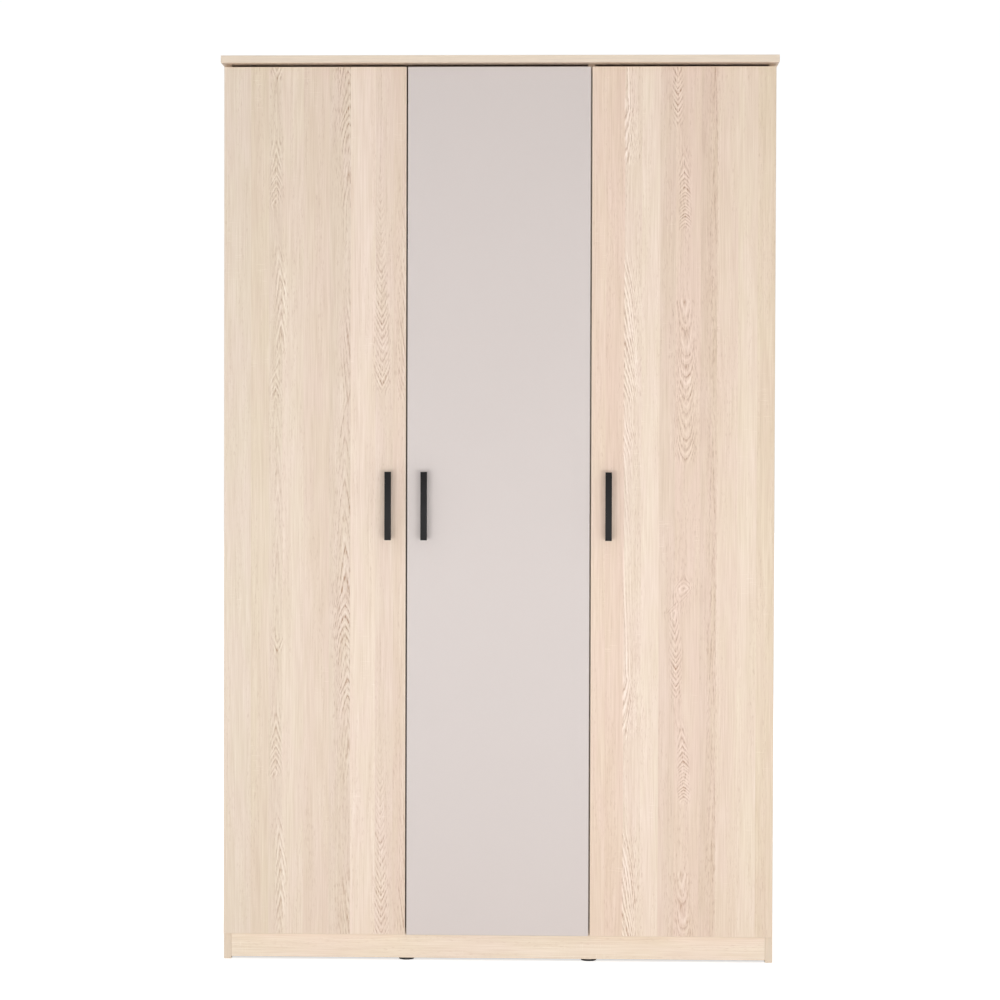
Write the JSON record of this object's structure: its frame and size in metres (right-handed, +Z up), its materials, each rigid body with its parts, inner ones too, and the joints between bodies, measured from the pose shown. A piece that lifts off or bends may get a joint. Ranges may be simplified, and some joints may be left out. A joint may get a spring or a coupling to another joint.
{
  "type": "wardrobe",
  "caption": "Tall free-standing wardrobe: full-height hinged doors in pale ash decor and plain grey, black bar handles, overhanging top board, plinth, shelves and a hanging rail.",
  "frame": {"origin": "on the floor, under the middle of the whole object's bounding box, handles included", "axes": "+X to the right as seen from the front, +Y to the back, +Z up; the doors face -Y"},
  "size_m": [1.208, 0.592, 1.97],
  "materials": {
    "ash_board": "matt printed decor with a fine pore emboss",
    "grey_board": "matt plain melamine",
    "hardboard": "smooth pressed fibre board",
    "black_metal": "matt powder coat",
    "black_plastic": "moulded, fine texture",
    "white_plastic": "moulded, satin",
    "beech_dowel": "fluted, raw",
    "zinc": "zinc plated",
    "nickel_steel": "nickel plated, pressed",
    "chrome_rail": "polished"
  },
  "bodies": {
    "carcass": {"top_panel": "ash_board", "left_side_panel": "ash_board", "right_side_panel": "ash_board", "partition_panel": "ash_board", "bottom_panel": "ash_board", "front_plinth": "ash_board", "rear_plinth": "ash_board", "floor_bearers": "ash_board", "glides": "black_plastic", "back_panel_left": "hardboard", "back_panel_centre": "hardboard", "back_panel_right": "hardboard", "back_joint_strip": "white_plastic", "hat_shelf": "ash_board", "hanging_rail": "chrome_rail", "rail_sockets": "nickel_steel", "rail_socket_screws": "zinc", "fixed_shelf": "ash_board", "lower_shelf": "ash_board", "middle_shelf": "ash_board", "upper_shelf": "ash_board", "shelf_pins": "zinc", "cam_locks": "zinc", "cam_bolts": "zinc", "dowels": "beech_dowel", "wall_brackets": "zinc", "wall_bracket_screws": "zinc", "door_bumpers": "white_plastic", "hinge_screws": "zinc", "left_hinge_arms": "nickel_steel", "left_mounting_plates": "nickel_steel", "centre_hinge_arms": "nickel_steel", "centre_mounting_plates": "nickel_steel", "right_hinge_arms": "nickel_steel", "right_mounting_plates": "nickel_steel"},
    "left_door": {"left_door": "ash_board", "left_handle": "black_metal", "left_handle_screws": "zinc", "left_hinge_cups": "nickel_steel", "left_cup_screws": "zinc"},
    "centre_door": {"centre_door": "grey_board", "centre_handle": "black_metal", "centre_handle_screws": "zinc", "centre_hinge_cups": "nickel_steel", "centre_cup_screws": "zinc"},
    "right_door": {"right_door": "ash_board", "right_handle": "black_metal", "right_handle_screws": "zinc", "right_hinge_cups": "nickel_steel", "right_cup_screws": "zinc"},
    "left_hinge_links": {"left_hinge_links": "nickel_steel"},
    "centre_hinge_links": {"centre_hinge_links": "nickel_steel"},
    "right_hinge_links": {"right_hinge_links": "nickel_steel"}
  },
  "joints": [
    {"name": "left_door_hinge", "type": "hinge", "parent": "carcass", "child": "left_door", "pos_m": [-0.59214, -0.26246, 1], "axis": [0, 0, -1], "range_deg": [0, 100]},
    {"name": "centre_door_hinge", "type": "hinge", "parent": "carcass", "child": "centre_door", "pos_m": [0.19247, -0.26246, 1], "axis": [0, 0, 1], "range_deg": [0, 100]},
    {"name": "right_door_hinge", "type": "hinge", "parent": "carcass", "child": "right_door", "pos_m": [0.59214, -0.26246, 1], "axis": [0, 0, 1], "range_deg": [0, 100]},
    {"name": "left_link_pivot", "type": "hinge", "parent": "carcass", "child": "left_hinge_links", "pos_m": [-0.5683, -0.2572, 1], "axis": [0, 0, 1], "range_deg": [0, 44]},
    {"name": "centre_link_pivot", "type": "hinge", "parent": "carcass", "child": "centre_hinge_links", "pos_m": [0.16863, -0.2572, 1], "axis": [0, 0, -1], "range_deg": [0, 44]},
    {"name": "right_link_pivot", "type": "hinge", "parent": "carcass", "child": "right_hinge_links", "pos_m": [0.5683, -0.2572, 1], "axis": [0, 0, -1], "range_deg": [0, 44]}
  ],
  "couplings": [
    {"joint": "left_link_pivot", "follows": "left_door_hinge", "ratio": 0.43},
    {"joint": "centre_link_pivot", "follows": "centre_door_hinge", "ratio": 0.43},
    {"joint": "right_link_pivot", "follows": "right_door_hinge", "ratio": 0.43}
  ]
}
